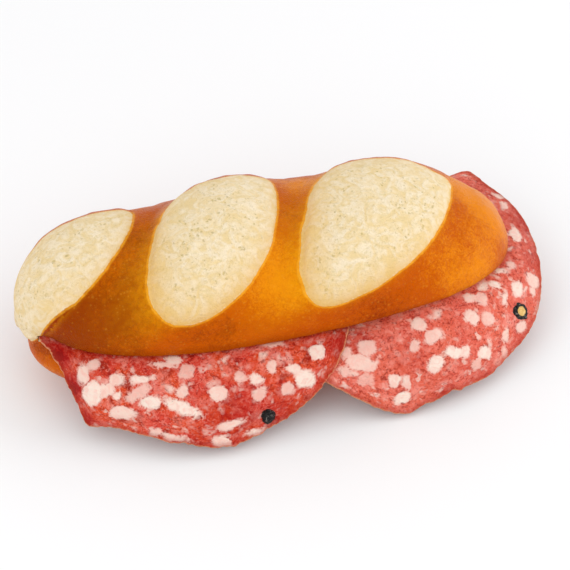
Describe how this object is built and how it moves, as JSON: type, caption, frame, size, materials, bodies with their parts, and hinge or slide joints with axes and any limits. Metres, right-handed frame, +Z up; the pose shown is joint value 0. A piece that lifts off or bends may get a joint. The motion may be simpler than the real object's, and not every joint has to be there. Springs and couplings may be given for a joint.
{
  "type": "pretzel roll sandwich",
  "caption": "Slashed pretzel roll, slit along the front and filled with peppered salami slices that hang over its base.",
  "frame": {"origin": "middle of the roll's flat underside, on the surface the sandwich rests on", "axes": "+X along the roll towards the end where a slice pokes out, -Y towards the slit side where the slices hang out, +Z up"},
  "size_m": [0.1843, 0.0923, 0.0589],
  "materials": {
    "bread": "glossy golden brown crust with matt cream crumb in the slashes",
    "salami": "moist red meat marbled with white fat"
  },
  "bodies": {
    "root": {"roll": "bread", "salami_left": "salami", "salami_right": "salami"}
  },
  "joints": []
}
